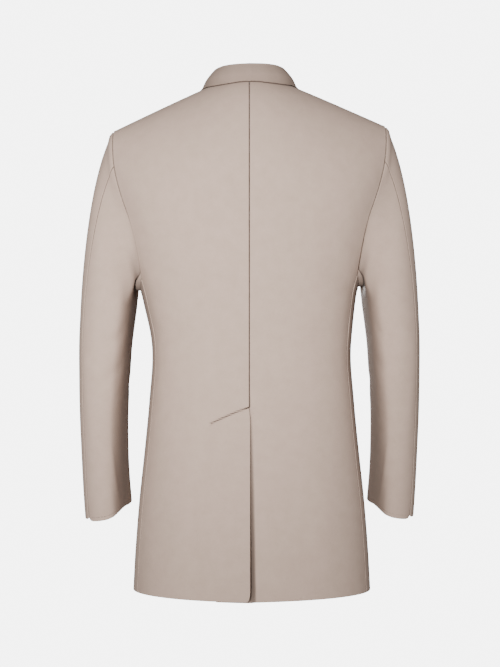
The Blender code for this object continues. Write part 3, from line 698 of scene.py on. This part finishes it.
def sleeve_height(angles, loop_z, z, distances):
    """How far folds, seams, the armpit and the sleeve's head raise its cloth."""
    arm_hole, _, left, right = distances
    degrees = np.degrees(np.mod(angles, 2 * math.pi))[None, :] * DEGREE
    folds = [(f.angle0 * DEGREE, f.z0, f.angle1 * DEGREE, f.z1, f.half_width, f.depth)
             for f in SLEEVE_FOLDS]
    raised = crease_height(folds, degrees + 0 * z, z)
    raised *= ramp(z, SEAM_TOP_Z + 0.10, SEAM_TOP_Z)
    raised -= seam_dip(left, ELBOW_DEPTH) + seam_dip(right, ELBOW_DEPTH) + seam_dip(arm_hole)
    beside = np.exp(-((arm_hole / ARMPIT_REACH) ** 1.5))
    beside = np.clip(arm_hole / EDGE_STEPS[1], 0, 1) * beside
    under_arm = ramp(np.cos(angles), 0.75, 0.35)[None, :] * ramp(loop_z, *ARMPIT_FADE_Z)
    raised -= ARMPIT_DEPTH * beside * under_arm
    head = HEAD_HEIGHT * np.exp(-(((arm_hole - HEAD_PLACE) / HEAD_REACH) ** 2))
    return raised + head * ramp(np.cos(angles), 0.35, 0.95)[None, :]


def sleeve_half(first, last, count):
    """Outer and inner points of the sleeve between two of its seams."""
    steps = mix(first, last, with_edges(SLEEVE_WIDTH, count))
    angles = sleeve_angles(steps)
    loop = armhole_at(steps)
    outward = body_normals(loop)
    flat = sleeve_rows(angles, loop, away_from_body(steps, loop, outward))
    normals = sleeve_normals(flat)
    normals[0] = outward
    distances = edge_distances(flat)
    _, cuff, left, right = distances
    under = first == ELBOW_STEP
    corner = SLIT_CORNER_UNDER if under else SLIT_CORNER_TOP
    flat = lifted(flat, rounded_corner(left if under else right, cuff, *corner))
    raised = sleeve_height(angles, loop[:, 2], flat[..., 2], distances)
    outer, inner = two_faces(flat, normals, raised, nearest_edge(distances))
    slit = ramp(flat[..., 2], SLIT_TOP_Z, SLEEVE[-1].z)
    for grid in (outer, inner):
        for edge, side, step in ((0, 1, first), (-1, -2, last)):
            gap = mix(SEAM, SLIT_GAP, slit[:, edge]) if step == ELBOW_STEP else SEAM
            move = unit(grid[:, side] - grid[:, edge])
            grid[:, edge] += move * np.reshape(gap, (-1, 1))
    return outer, inner


# -------------------------------------------------------- collar, lapel


def collar_line(kind, places):
    marks = np.linspace(0, 1, len(COLLAR))
    columns = [through(marks, [getattr(s, f"{kind}_{a}") for s in COLLAR], places) for a in "xyz"]
    return np.stack(columns, axis=-1)


def collar_middle(places):
    """Middle surface of the collar's left half: rows along the neck."""
    base, fold, edge = (collar_line(kind, places) for kind in ("base", "fold", "edge"))
    along = unit(np.gradient(fold, axis=0))
    up = unit(fold - base)
    out = unit(np.cross(along, up))
    out *= np.sign(np.sum(out * (edge - fold), axis=1))[:, None]
    half = COLLAR_FOLD
    stand_end = fold - up * half
    rows = [mix(base, stand_end, t) for t in np.linspace(0, 1, 9)[:-1]]
    for turn in np.linspace(0, math.pi, 13):
        rows.append(fold + up * half * (math.sin(turn) - 1) + out * half * (1 - math.cos(turn)))
    fall_start = rows[-1]
    lengths = np.linspace(0, 1, 17)[1:-2].tolist() + [0.90, 0.94, 0.965, 0.98, 0.99, 1.0]
    for t in lengths:
        rows.append(mix(fall_start, edge, t) + out * half * math.sin(math.pi * t) ** 0.8)
    return np.array(rows).transpose(1, 0, 2)


def laid(points, ground, ways, least, pull):
    """Points moved to lie over the ground: out if too near, in by a share if too far."""
    shares = np.broadcast_to(pull, points.shape[:2]).ravel()
    flat = points.reshape(-1, 3).copy()
    for k, p in enumerate(flat):
        near = int(np.argmin(np.sum((ground - p) ** 2, axis=1)))
        height = (p - ground[near]) @ ways[near]
        move = least - height
        flat[k] = p + ways[near] * (move if move > 0 else move * shares[k])
    return flat.reshape(points.shape)


def collar(grounds):
    """Outer and inner points of the whole collar."""
    left = collar_middle(np.concatenate([np.linspace(0, 0.985, 64), [0.991, 0.995, 0.998, 1.0]]))
    ground = np.concatenate([outer.reshape(-1, 3)[::3] for outer, _ in grounds])
    ways = np.concatenate([way.reshape(-1, 3)[::3] for _, way in grounds])
    fall = left[:, FALL_COLUMN:]
    pull = ramp(np.linspace(0, 1, fall.shape[1]), 0.30, 0.85)
    left[:, FALL_COLUMN:] = laid(fall, ground, ways, CLOTH / 2 + LIE, pull[None, :])
    right = left[:0:-1] * MIRROR
    middle = np.concatenate([right, left])
    normals = unit(np.cross(np.gradient(middle, axis=0), np.gradient(middle, axis=1)))
    half = (CLOTH / 2 - rounding(nearest_edge(edge_distances(middle))))[..., None]
    return middle + normals * half, middle - normals * half


def lapel(under):
    """Outer and inner points of a lapel, lying on its front panel."""
    low = LAPEL_CROSS_Z if under else BREAK_Z
    tip_x, tip_z = LAPEL_POINT
    up = with_edges(LAPEL_LENGTH, LAPEL_ROWS)[:, None]
    across = with_edges(LAPEL_WIDTH, LAPEL_COLUMNS)[None, :]
    z_roll = mix(low, LAPEL_TOP_Z, up)
    z_edge = mix(low - LAPEL_FOOT, tip_z, up)
    x_edge = mix(inner_x(np.array(low), True, False) + LAPEL_FOOT, tip_x, up**LAPEL_CURVE)
    x = mix(inner_x(z_roll, True, False) + LAPEL_INSET, x_edge, across)
    z = mix(z_roll, z_edge, across)
    flat = skin(x, z, True)
    normals = skin_normal(flat, True)
    if under:
        flat = flat - normals * lap_drop(x, z, True)[..., None]
    roll = LAPEL_ROLL * (1 - across) * np.sin(math.pi * np.minimum(across * 2, 1) / 2)
    creases = crease_height(FRONT_CREASES, x, z)
    near = nearest_edge(edge_distances(flat))
    low_face = LIE + roll + creases + rounding(near)
    high_face = LIE + roll + creases + CLOTH - rounding(near)
    return flat + normals * high_face[..., None], flat + normals * low_face[..., None]


# ------------------------------------------------------------ materials


def node(tree, kind, place, **values):
    made = tree.nodes.new(kind)
    made.location = place
    for name, value in values.items():
        setattr(made, name, value)
    return made


def new_material(name):
    """A material, its node tree and its shader."""
    made = bpy.data.materials.new(name)
    made.use_nodes = True
    return made, made.node_tree, made.node_tree.nodes["Principled BSDF"]


def set_inputs(made, values):
    for name, value in values.items():
        made.inputs[name].default_value = value


def colour_ramp(tree, place, stops):
    """A ramp between two colours, each at its own position."""
    made = node(tree, "ShaderNodeValToRGB", place)
    for stop, (position, colour) in zip(made.color_ramp.elements, stops):
        stop.position = position
        stop.color = (*colour, 1)
    return made


def bumps(tree, shader, place, height, strength, distance):
    """Small relief on the shader's surface from a height."""
    made = node(tree, "ShaderNodeBump", place)
    set_inputs(made, {"Strength": strength, "Distance": distance})
    tree.links.new(height, made.inputs["Height"])
    tree.links.new(made.outputs["Normal"], shader.inputs["Normal"])


def noise(tree, coordinates, place, scale, detail=3.0, rough=0.55):
    made = node(tree, "ShaderNodeTexNoise", place)
    set_inputs(made, {"Scale": scale, "Detail": detail, "Roughness": rough})
    tree.links.new(coordinates, made.inputs["Vector"])
    return made


def painted_shade_near(tree, colour, near):
    """The colour with painted shade, darker where cloth within reach leaves little of it open."""
    # painted shade: an ambient occlusion node darkens the base colour
    open_share = node(tree, "ShaderNodeAmbientOcclusion", (-550, 500), samples=8)
    set_inputs(open_share, {"Distance": near.reach})
    depth = node(tree, "ShaderNodeMapRange", (-380, 500))
    set_inputs(depth, {"From Min": near.closed, "From Max": near.plain, "To Min": near.least})
    tree.links.new(open_share.outputs["AO"], depth.inputs["Value"])
    painted_shade_colour = node(tree, "ShaderNodeMix", (-250, 200), data_type="RGBA", blend_type="MULTIPLY")
    set_inputs(painted_shade_colour, {"Factor": 1.0})
    tree.links.new(colour, painted_shade_colour.inputs["A"])
    tree.links.new(depth.outputs["Result"], painted_shade_colour.inputs["B"])
    return painted_shade_colour.outputs["Result"]


def wool_material(name, painted_shade):
    """Smooth brushed wool: fine felted fibres, faint mottling and a soft sheen, with painted shade
    in its colour: darker in grooves, near other cloth, and by the given factor.
    """
    made, tree, shader = new_material(name)
    place = node(tree, "ShaderNodeTexCoord", (-1400, 0)).outputs["Object"]
    mottle = noise(tree, place, (-1100, 300), 55.0)
    fibre = noise(tree, place, (-1100, 0), 900.0, 4.0, 0.65)
    stretch = node(tree, "ShaderNodeMapping", (-1200, -300))
    set_inputs(stretch, {"Scale": (1.0, 1.0, 0.28)})
    tree.links.new(place, stretch.inputs["Vector"])
    nap = noise(tree, stretch.outputs["Vector"], (-1000, -300), 1500.0, 3.0, 0.6)

    tones = ((0.30, WOOL_DARK), (0.72, WOOL_PALE))
    # painted shade: both tones are scaled by this factor, below 1 for the collar
    tones = [(position, [painted_shade * c for c in tone]) for position, tone in tones]
    colours = colour_ramp(tree, (-800, 300), tones)
    tree.links.new(mottle.outputs["Fac"], colours.inputs["Fac"])
    speckle = node(tree, "ShaderNodeMix", (-550, 200), data_type="RGBA", blend_type="OVERLAY")
    set_inputs(speckle, {"Factor": 0.16})
    tree.links.new(colours.outputs["Color"], speckle.inputs["A"])
    tree.links.new(fibre.outputs["Fac"], speckle.inputs["B"])

    # painted shade: the cloth's colour is darker in narrow grooves, and a little where other cloth
    # is near
    with_groove_shade = painted_shade_near(tree, speckle.outputs["Result"], GROOVE_PAINTED_SHADE)
    shaded = painted_shade_near(tree, with_groove_shade, NEAR_CLOTH_PAINTED_SHADE)
    tree.links.new(shaded, shader.inputs["Base Color"])

    both = node(tree, "ShaderNodeMath", (-750, -200), operation="ADD")
    tree.links.new(fibre.outputs["Fac"], both.inputs[0])
    tree.links.new(nap.outputs["Fac"], both.inputs[1])
    bumps(tree, shader, (-450, -200), both.outputs["Value"], 0.22, 0.0006)
    set_inputs(shader, {
        "Roughness": 0.92,
        "Specular IOR Level": 0.10,
        "Sheen Weight": 0.03,
        "Sheen Roughness": 0.45,
        "Sheen Tint": (0.95, 0.90, 0.86, 1),
    })
    return made


def button_material():
    """Horn-like plastic: brown with soft darker streaks and a satin face."""
    made, tree, shader = new_material("horn_button")
    place = node(tree, "ShaderNodeTexCoord", (-1000, 0)).outputs["Object"]
    streaks = noise(tree, place, (-800, 0), 140.0, 5.0, 0.6)
    set_inputs(streaks, {"Distortion": 1.2})
    tones = ((0.35, (0.055, 0.036, 0.026)), (0.70, (0.190, 0.130, 0.092)))
    colours = colour_ramp(tree, (-500, 0), tones)
    tree.links.new(streaks.outputs["Fac"], colours.inputs["Fac"])
    tree.links.new(colours.outputs["Color"], shader.inputs["Base Color"])
    set_inputs(shader, {"Roughness": 0.34})
    return made


def thread_material():
    """Matt sewing thread in the cloth's colour, a little darker."""
    made, tree, shader = new_material("sewing_thread")
    place = node(tree, "ShaderNodeTexCoord", (-800, 0)).outputs["Object"]
    twist = noise(tree, place, (-600, 0), 2500.0, 2.0, 0.5)
    bumps(tree, shader, (-300, -100), twist.outputs["Fac"], 0.4, 0.0002)
    set_inputs(shader, {"Base Color": (0.30, 0.24, 0.20, 1), "Roughness": 0.7})
    return made


# --------------------------------------------------------------- pieces


def add_object(name, data):
    """An object in the scene that holds a mesh, a curve, a camera or a light."""
    made = bpy.data.objects.new(name, data)
    bpy.context.scene.collection.objects.link(made)
    return made


def add_mesh(name, points, faces, finish, sharp=50):
    """A mesh object whose faces point out."""
    centre = np.mean(points, axis=0)
    fans = np.array([(f[0], b, c) for f in faces for b, c in zip(f[1:], f[2:])])
    if np.linalg.det(points[fans] - centre).sum() < 0:
        faces = [face[::-1] for face in faces]
    mesh = bpy.data.meshes.new(name)
    mesh.from_pydata(points.tolist(), [], [tuple(int(i) for i in f) for f in faces])
    mesh.materials.append(finish)
    mesh.shade_smooth()
    mesh.set_sharp_from_angle(angle=math.radians(sharp))
    return add_object(name, mesh)


def shell(name, outer, inner, finish):
    """A closed thin shell between two grids of points with the same layout."""
    rows, columns = outer.shape[:2]
    count = rows * columns
    index = np.arange(count).reshape(rows, columns)
    a, b = index[:-1, :-1].ravel(), index[:-1, 1:].ravel()
    d, e = index[1:, :-1].ravel(), index[1:, 1:].ravel()
    front = np.stack([a, b, e, d], axis=1)
    back = np.stack([a, d, e, b], axis=1) + count
    rim = np.concatenate([index[0], index[1:, -1], index[-1, -2::-1], index[-2:0:-1, 0]])
    ahead = np.roll(rim, -1)
    sides = np.stack([ahead, rim, rim + count, ahead + count], axis=1)
    points = np.concatenate([outer.reshape(-1, 3), inner.reshape(-1, 3)])
    faces = np.concatenate([front, back, sides]).tolist()
    return add_mesh(name, points, faces, finish, sharp=70)


def mirrored(*grids):
    """The same grids on the coat's other side."""
    return [grid * MIRROR for grid in grids]


def hung(points, sleeve):
    """Points as the coat hangs: tilted a little, and rounded at the hem."""
    x, z = points[..., 0], points[..., 2]
    share = ramp(z, *TILT_FADE_Z)
    if sleeve:
        share = mix(1.0, CUFF_TILT, ramp(z, ARMHOLE_LOW_Z, SLEEVE[-1].z))
    rise = -TILT * np.clip(x, -TILT_REACH, TILT_REACH) * share
    if not sleeve:
        aside = np.minimum(np.abs(x) / LEVELS[0].half_width, 1)
        rise += (HEM_RISE * aside**HEM_POWER - HEM_SAG) * ramp(z, *HEM_FADE_Z)
        sway = -SWAY * ramp(aside, 0.1, 1.0) * ramp(z, *SWAY_FADE_Z)
    else:
        sway = 0 * x
    return points + np.stack([sway, 0 * x, rise], axis=-1)


def dress(name, grids, finish):
    """One cloth piece that stands for its node."""
    grids = [hung(grid, name.startswith("sleeve")) for grid in grids]
    piece = shell(f"cloth_{name}", *grids, finish)
    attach(piece, "root")
    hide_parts(name)
    return piece


def button_body(name, seat, side, up, normal, horn):
    """A turned button without its holes: rings of points and a point on each face."""
    turns = np.linspace(0, 2 * math.pi, BUTTON_SIDES, endpoint=False)
    around = np.cos(turns)[:, None] * side + np.sin(turns)[:, None] * up
    rings = [seat + around * share * BUTTON_RADIUS + normal * (LIE + height * BUTTON_THICK)
             for share, height in BUTTON_PROFILE]
    middles = [seat + normal * LIE, seat + normal * (LIE + BUTTON_WEB * BUTTON_THICK)]
    points = np.concatenate(rings + [middles])
    steps = BUTTON_SIDES
    last = (len(rings) - 1) * steps
    low, high = len(points) - 2, len(points) - 1
    faces = []
    for ring in range(0, last, steps):
        for k in range(steps):
            a, b = ring + k, ring + (k + 1) % steps
            faces.append((a, b, b + steps, a + steps))
    for k in range(steps):
        after = (k + 1) % steps
        faces.append((after, k, low))
        faces.append((last + k, last + after, high))
    return add_mesh(name, points, faces, horn, sharp=60)


def cut_hole(body, place, turn):
    """Cuts one round hole through the button."""
    bpy.ops.mesh.primitive_cylinder_add(vertices=16, radius=HOLE_RADIUS, depth=0.02)
    cutter = bpy.context.object
    cutter.matrix_world = Matrix.Translation(Vector(place)) @ turn
    cut = body.modifiers.new("hole", "BOOLEAN")
    cut.object = cutter
    bpy.context.view_layer.objects.active = body
    bpy.ops.object.modifier_apply(modifier=cut.name)
    bpy.data.objects.remove(cutter, do_unlink=True)


def button_thread(name, seat, start, end, rise, thread):
    """A strand that comes up through one hole and goes down through another."""
    curve = bpy.data.curves.new(name, "CURVE")
    curve.dimensions = "3D"
    curve.bevel_depth = THREAD_RADIUS
    curve.bevel_resolution = 3
    curve.use_fill_caps = True
    line = curve.splines.new("BEZIER")
    line.bezier_points.add(len(THREAD_PATH) - 1)
    for point, (share, height) in zip(line.bezier_points, THREAD_PATH):
        point.co = Vector(seat + mix(start, end, share) + rise * height)
        point.handle_left_type = point.handle_right_type = "AUTO"
    curve.materials.append(thread)
    return add_object(name, curve)


def button_piece(name, z, horn, thread):
    """A four-hole button with its thread, seated on the left front."""
    seat = skin(np.array([0.0]), np.array([z]), True)
    normal = skin_normal(seat, True)[0]
    seat = seat[0]
    side = np.array([1.0, 0.0, 0.0])
    up = unit(np.cross(normal, side))
    body = button_body(name, seat, side, up, normal, horn)
    spots = [(side * a + up * b) * HOLE_ASIDE for a in (-1, 1) for b in (-1, 1)]
    turn = Matrix((Vector(side), Vector(up), Vector(normal))).transposed().to_4x4()
    for spot in spots:
        cut_hole(body, seat + spot, turn)
    threads = []
    for number, (a, b) in enumerate(((0, 3), (1, 2))):
        rise = normal * (LIE + THREAD_TOP * BUTTON_THICK) * (1.0 + STRAND_LIFT * number)
        strand = f"{name}_thread_{number}"
        threads.append(button_thread(strand, seat, spots[a], spots[b], rise, thread))
    return body, threads


# ---------------------------------------------------------------- coat


def make_coat():
    """The cloth pieces and the buttons, each in place of its node, all held by the root."""
    wool, horn, thread = wool_material("taupe_wool", 1.0), button_material(), thread_material()
    back = panel(front=False, under=False)
    back_under = panel(front=False, under=True)
    front = panel(front=True, under=False)
    front_under = panel(front=True, under=True)
    side = side_panel()
    top = sleeve_half(-FRONT_STEP, ELBOW_STEP, SLEEVE_TOP_COLUMNS)
    below = sleeve_half(ELBOW_STEP, ALL_STEPS - FRONT_STEP, SLEEVE_UNDER_COLUMNS)
    lapel_top, lapel_low = lapel(under=False), lapel(under=True)

    # the left piece, the right one before it is mirrored, and their flat sizes
    cuts = {
        "back": (back[:2], back_under[:2], (0.245, 0.885), (0.300, 0.885)),
        "front": (front[:2], front_under[:2], (0.265, 0.885), (0.265, 0.885)),
        "side": (side, side, (0.130, 0.530), (0.130, 0.530)),
        "sleeve_top": (top, top, (0.190, 0.680), (0.190, 0.680)),
        "sleeve_under": (below, below, (0.290, 0.600), (0.290, 0.600)),
        "lapel": (lapel_top, lapel_low, (0.100, 0.290), (0.100, 0.215)),
    }
    for name, (left, right, left_flat, right_flat) in cuts.items():
        dress(f"{name}_left", left, wool)
        dress(f"{name}_right", mirrored(*right), wool)
    ground = [(back[0], back[2]), (front[0], front[2])]
    ways = skin_normal(skin(lapel_top[0][..., 0], lapel_top[0][..., 2], True), True)
    ground.append((lapel_top[0], ways))
    # the collar gets a darker copy of the wool: painted shade
    collar_painted_shade_wool = wool_material("collar_painted_shade_wool", COLLAR_PAINTED_SHADE)
    dress("collar", collar(ground), collar_painted_shade_wool)

    for number, z in enumerate(BUTTON_HEIGHTS, start=1):
        body, threads = button_piece(f"horn_button_{number}", z, horn, thread)
        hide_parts(f"button_{number}")
        for piece in (body, *threads):
            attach(piece, "root")


# ------------------------------------------------------------ the studio

CAMERA = (0.0, 3.40, -0.410)
LENS = 109.0
SHIFT = (0.0009, 0.0)
PAPER_LIGHT = 6.0  # the backdrop's own even light
AIR_LIGHT = 0.30
FLOOR_DROP = 0.45  # below the hem
STAGE_SIZE = 7.0  # radius and height
STAGE_BEND = 2.0  # radius of the curve between floor and backdrop
STAGE_SIDES = 64
KEY_PLACE = (0.60, 5.0, -0.05)  # behind the coat, and mirrored in front of it
KEY_AIM = (0.15, 0.0, -0.26)
KEY_SIZE = (0.7, 0.7)
KEY_POWER = 12.0
BEAM = math.radians(26)  # the lights have grids that keep their beams narrow


def make_camera():
    data = bpy.data.cameras.new("camera")
    data.lens = LENS
    data.sensor_width = 36.0
    data.shift_x, data.shift_y = SHIFT
    camera = add_object("camera", data)
    camera.location = CAMERA
    camera.rotation_euler = (math.radians(90), 0, math.radians(180))
    bpy.context.scene.camera = camera


def make_stage():
    """A pale seamless floor that curves up into a backdrop on each far side."""
    made, _, shader = new_material("studio_paper")
    set_inputs(shader, {
        "Base Color": (0.0, 0.0, 0.0, 1),
        "Roughness": 1.0,
        "Specular IOR Level": 0.0,
        "Emission Color": (1, 1, 1, 1),
        "Emission Strength": PAPER_LIGHT,
    })
    bend, steps, floor_z = STAGE_BEND, STAGE_SIDES, HEM_Z - FLOOR_DROP
    level = STAGE_SIZE - bend
    profile = [(level, 0.0)]
    for turn in np.linspace(0, math.pi / 2, 12)[1:]:
        profile.append((level + bend * math.sin(turn), bend * (1 - math.cos(turn))))
    profile.append((STAGE_SIZE, STAGE_SIZE))
    points = [(0.0, 0.0, floor_z)]
    for reach, height in profile:
        for k in range(steps):
            turn = 2 * math.pi * k / steps
            points.append((reach * math.cos(turn), reach * math.sin(turn), floor_z + height))
    faces = [(0, 1 + k, 1 + (k + 1) % steps) for k in range(steps)]
    for ring in range(len(profile) - 1):
        for k in range(steps):
            a, b = 1 + ring * steps + k, 1 + ring * steps + (k + 1) % steps
            faces.append((a, a + steps, b + steps, b))
    mesh = bpy.data.meshes.new("studio_floor")
    mesh.from_pydata(points, [], faces)
    mesh.materials.append(made)
    mesh.shade_smooth()
    floor = add_object("studio_floor", mesh)
    floor.visible_diffuse = False
    floor.visible_glossy = False
    floor.visible_shadow = False


def add_light(name, place, aim, size, power):
    data = bpy.data.lights.new(name, "AREA")
    data.shape = "RECTANGLE"
    data.size, data.size_y = size
    data.energy = power
    data.spread = BEAM
    light = add_object(name, data)
    light.location = place
    light.rotation_euler = (Vector(aim) - Vector(place)).to_track_quat("-Z", "Y").to_euler()


def make_lights():
    world = bpy.data.worlds.new("studio_air")
    world.use_nodes = True
    background = world.node_tree.nodes["Background"]
    set_inputs(background, {"Color": (1, 1, 1, 1), "Strength": AIR_LIGHT})
    bpy.context.scene.world = world
    x, y, z = KEY_PLACE
    for face, side in (("back", 1), ("front", -1)):
        add_light(f"{face}_key", (x, y * side, z), KEY_AIM, KEY_SIZE, KEY_POWER)


make_camera()
make_stage()
make_lights()
make_coat()
